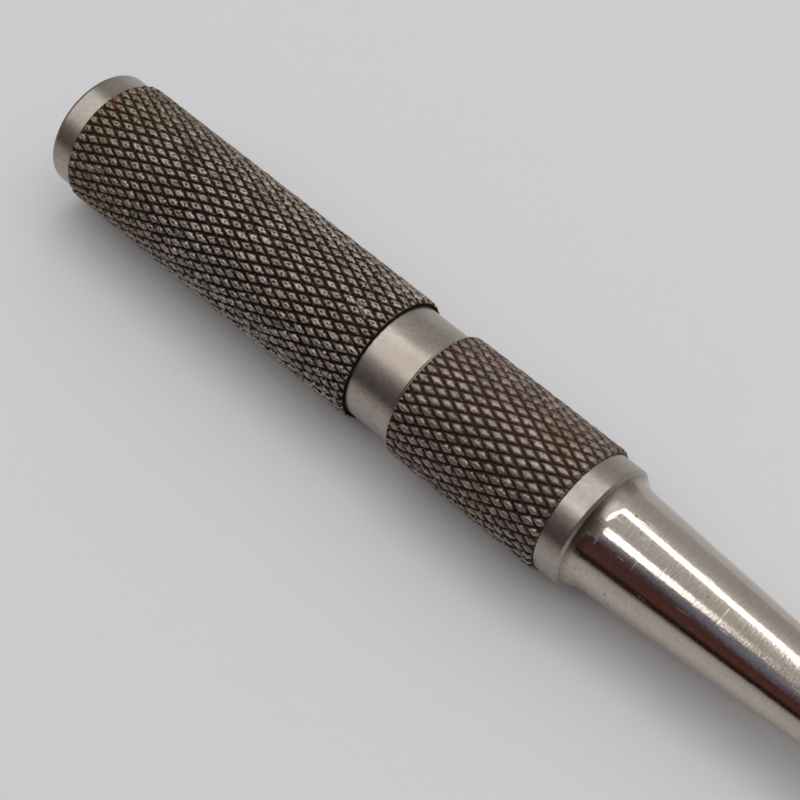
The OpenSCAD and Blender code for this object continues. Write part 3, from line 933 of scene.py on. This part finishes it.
def knurl(name, reach, bevels, reliefs, teeth, pitch_x, shift, given):
    """Bevels and reliefs are given for the rear and the front end."""
    row_step = pitch_x / 2
    rows = math.ceil((reach[1] - reach[0]) / row_step) + SPARE_ROWS
    middle = (reach[0] + reach[1]) / 2
    mesh = plain_mesh(name, lattice, {
        "Around": teeth, "Rows": rows, "Radius": root_r, "Row step": row_step, "Axis height": axis_z,
        "Middle": middle, "First row": middle - (rows - 1) * row_step / 2 + shift, "Twist": TWIST, **given})
    made = bmesh.new()
    made.from_mesh(mesh)
    relief = made.verts.layers.float["relief"]
    for x, side, bevel, level in zip(reach, (-1, 1), bevels, reliefs):
        cut = part_at(made, x, side, clear_outer=True)
        open_edges = [e for e in cut["geom_cut"] if isinstance(e, bmesh.types.BMEdge)]
        bmesh.ops.holes_fill(made, edges=open_edges, sides=40)
        part_at(made, x - side * bevel, side)
        for vert in made.verts:
            most = crest_r - max(0, bevel - side * (x - vert.co.x))
            y, z = vert.co.y, vert.co.z - axis_z
            r = math.hypot(y, z)
            if r > most:
                vert.co.y, vert.co.z = y * most / r, axis_z + z * most / r
                if most < crest_r:
                    vert[relief] = max(vert[relief], level)
    made.to_mesh(mesh)
    made.free()
    mesh.calc_loop_triangles()
    print(name, rows, "rows of", teeth, "diamonds,", len(mesh.loop_triangles), "triangles")
    return put_in_scene(name, mesh)


# %% [markdown]
# ## Handle
# The tube under the diamonds is a plain bar at the bottom of the grooves. Its finish is the same grimy
# nickel, which reads a relief of 0 there and so stays dark.

# %% Diamonds of the handle
DEEP = -0.08 * MM
FOOT = 0.01 * MM
HIGH = crest_r - root_r
PITCH_X, TEETH = 1.625 * MM, 40
PITCH_Y = 2 * math.pi * root_r / TEETH
handle_flanks = [(1.0, DEEP, 0, 0, 0, 0), (0.96, FOOT, 0, 0.05, 0, 0), (0.7, 0.62 * HIGH, 0.1, 0.5, 0, 0)]
pitted = diamond("pitted_diamond", handle_flanks + [
    (0.53, 0.9 * HIGH, 0.25, 0.82, 0, 0), (0.39, HIGH, 0.4, 1, 0, 0),
    (0.22, 0.95 * HIGH, 0.9, 0.85, 0.02, 0.04), (0.09, 0.8 * HIGH, 1, 0.42, 0.03, 0.05)], PITCH_X, PITCH_Y)
dented = diamond("dented_diamond", handle_flanks + [
    (0.51, 0.9 * HIGH, 0.25, 0.85, 0, -0.02), (0.38, HIGH, 0.4, 1, -0.02, -0.03),
    (0.2, 0.96 * HIGH, 0.9, 0.75, 0.08, -0.04), (0.08, 0.88 * HIGH, 1, 0.5, 0.1, -0.05)], PITCH_X, PITCH_Y)

# %% Knurl the handle
handle_knurl = knurl(
    "handle_knurl", (tube_low.x, tube_high.x), (0.2 * MM, 0.15 * MM), (0.6, 0.55), TEETH, PITCH_X, 0.295 * MM,
    {"Diamond": pitted, "Odd diamond": dented, "Odd share": 0.35, "First angle": math.radians(-3.98),
     "Tilt": 0.06, "Spread": 0.1, "Seed": 5, "Finish": long_knurl_finish})
handle_bar = turned("handle_bar", [
    (tube_low.x, TUBE_BORE_R, 0), (tube_low.x, root_r, 0), (tube_high.x, root_r, 0),
    (tube_high.x, TUBE_BORE_R, 0)], lambda x: long_knurl_finish)
for piece in (handle_knurl, handle_bar):
    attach(piece, "handle")
    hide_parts("handle_tube")

# %% [markdown]
# ## Chuck
# The chuck's knurl is less worn: soft bright tops without pits, and browner grooves. In front of it
# follow the satin shoulder, a hollow fillet and the long polished taper.

# %% Knurl the chuck
CHUCK_KNURL_L, SHOULDER_L = 12.65 * MM, 1.7 * MM
CHUCK_PITCH_X, CHUCK_TEETH = 1.562 * MM, 38
CHUCK_PITCH_Y = 2 * math.pi * root_r / CHUCK_TEETH
KNURL_START = 0.14 * MM
shoulder_x = nose_low.x + CHUCK_KNURL_L
taper_x = shoulder_x + SHOULDER_L
soft = diamond("soft_diamond", [
    (1.0, DEEP, 0, 0, 0, 0), (0.95, FOOT, 0, 0.05, 0, 0), (0.76, 0.52 * HIGH, 0.1, 0.4, 0, 0),
    (0.6, 0.82 * HIGH, 0.2, 0.75, 0, 0), (0.42, 0.95 * HIGH, 0.35, 0.95, 0, 0), (0.2, HIGH, 0.8, 1, 0, 0)],
    CHUCK_PITCH_X, CHUCK_PITCH_Y)
chuck_knurl = knurl(
    "chuck_knurl", (nose_low.x + KNURL_START, shoulder_x), (0.1 * MM, 0.22 * MM), (0.7, 0.6), CHUCK_TEETH,
    CHUCK_PITCH_X, 0.48 * MM,
    {"Diamond": soft, "Odd diamond": soft, "Odd share": 0.0, "First angle": math.radians(-2.65),
     "Tilt": 0.06, "Spread": 0.08, "Seed": 11, "Finish": short_knurl_finish})

# %% [markdown]
# The fillet behind the taper is an arc that leaves the shoulder's edge and runs into the taper without a
# corner. Its middle follows from its radius and from the two diameters that it joins.

# %% Outline of the hollow fillet
taper_base_r, tip_r, fillet_r = 3.85 * MM, 1.9 * MM, 2.2 * MM
FILLET_STEPS = 12
taper_angle = math.atan2(taper_base_r - tip_r, nose_high.x - taper_x)
fillet_turn = math.acos(1 - (ring_r - taper_base_r) * math.cos(taper_angle) / fillet_r)
fillet_x = taper_x + fillet_r * math.sin(taper_angle + fillet_turn)
fillet_y = ring_r + fillet_r * math.cos(taper_angle + fillet_turn)
hollow = []
for k in range(1, FILLET_STEPS + 1):
    lean = taper_angle + fillet_turn * (1 - k / FILLET_STEPS)
    hollow.append((fillet_x - fillet_r * math.sin(lean), fillet_y - fillet_r * math.cos(lean), 0))
print("fillet from", round(taper_x / MM, 2), "to", round(hollow[-1][0] / MM, 2), "mm along X")

# %% Turn the chuck's body
CHUCK_BORE_R, COLLET_BORE_R, MOUTH_R = 3.56 * MM, 1.8 * MM, 1.3 * MM
CHUCK_BORE_L, STEP_END, CONE_L, MOUTH_L = 10.5 * MM, 12 * MM, 4 * MM, 0.4 * MM
BEAD_START, BEAD_END, BAR_START, BEAD_EDGE = 0.1 * MM, 0.16 * MM, 0.24 * MM, 0.04 * MM
bead_r, bar_r = root_r + 0.16 * MM, root_r - 0.02 * MM


def chuck_finish(x):
    if nose_low.x + 0.2 * MM < x < shoulder_x - 0.12 * MM:
        return short_knurl_finish
    return satin if x < taper_x + 0.15 * MM else polish


chuck_body = turned("chuck_body", [
    (nose_low.x, CHUCK_BORE_R, 0.1 * MM), (nose_low.x, root_r, 0.03 * MM),
    (nose_low.x + BEAD_START, bead_r, BEAD_EDGE), (nose_low.x + BEAD_END, bead_r, BEAD_EDGE),
    (nose_low.x + BAR_START, bar_r, 0), (shoulder_x - 0.3 * MM, bar_r, 0), (shoulder_x, ring_r, 0),
    (taper_x, ring_r, 0.12 * MM), *hollow, (nose_high.x, tip_r, 0.3 * MM),
    (nose_high.x, MOUTH_R, 0.05 * MM), (nose_high.x - MOUTH_L, MOUTH_R, 0),
    (nose_high.x - CONE_L, COLLET_BORE_R, 0), (nose_low.x + STEP_END, COLLET_BORE_R, 0),
    (nose_low.x + CHUCK_BORE_L, CHUCK_BORE_R, 0)], chuck_finish)
for piece in (chuck_knurl, chuck_body):
    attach(piece, "nose")
    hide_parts("chuck_nose")

# %% [markdown]
# ## Point
# The hardened point is plain round stock with a long ground taper and a short sharp tip.

# %% Turn the point
CHAMFER, GROUND_L, TIP_L, TIP_BASE_R = 0.25 * MM, 10.2 * MM, 1.2 * MM, 0.25 * MM
point_bar = turned("ground_point", [
    (point_low.x, 0, 0), (point_low.x, point_r - CHAMFER, 0.05 * MM),
    (point_low.x + CHAMFER, point_r, 0.05 * MM), (point_high.x - GROUND_L, point_r, 0.3 * MM),
    (point_high.x - TIP_L, TIP_BASE_R, 0.1 * MM), (point_high.x, 0, 0)], lambda x: point_steel, steps=64)
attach(point_bar, "point")
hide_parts("scriber_point")

# %% [markdown]
# ## Inside
# Collet, spring and key pin are shown as the solids themselves, with a steel of their own.

# %% Dress the inner solids
for node, finish, name in (("collet", collet_steel, "collet_steel"),
                           ("collet_spring", spring_steel, "spring_steel"),
                           ("key_pin", pin_steel, "pin_steel")):
    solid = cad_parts[node]
    solid.data.materials.clear()
    solid.data.materials.append(finish)
    print(node, "in", name)

# %% [markdown]
# ## Finish
# The helper diamonds have done their work and go. The sizes are kept, so that the dressed tool can be
# compared with its solids.

# %% Clear the helpers
for helper in (pitted, dented, soft):
    bpy.data.objects.remove(helper)
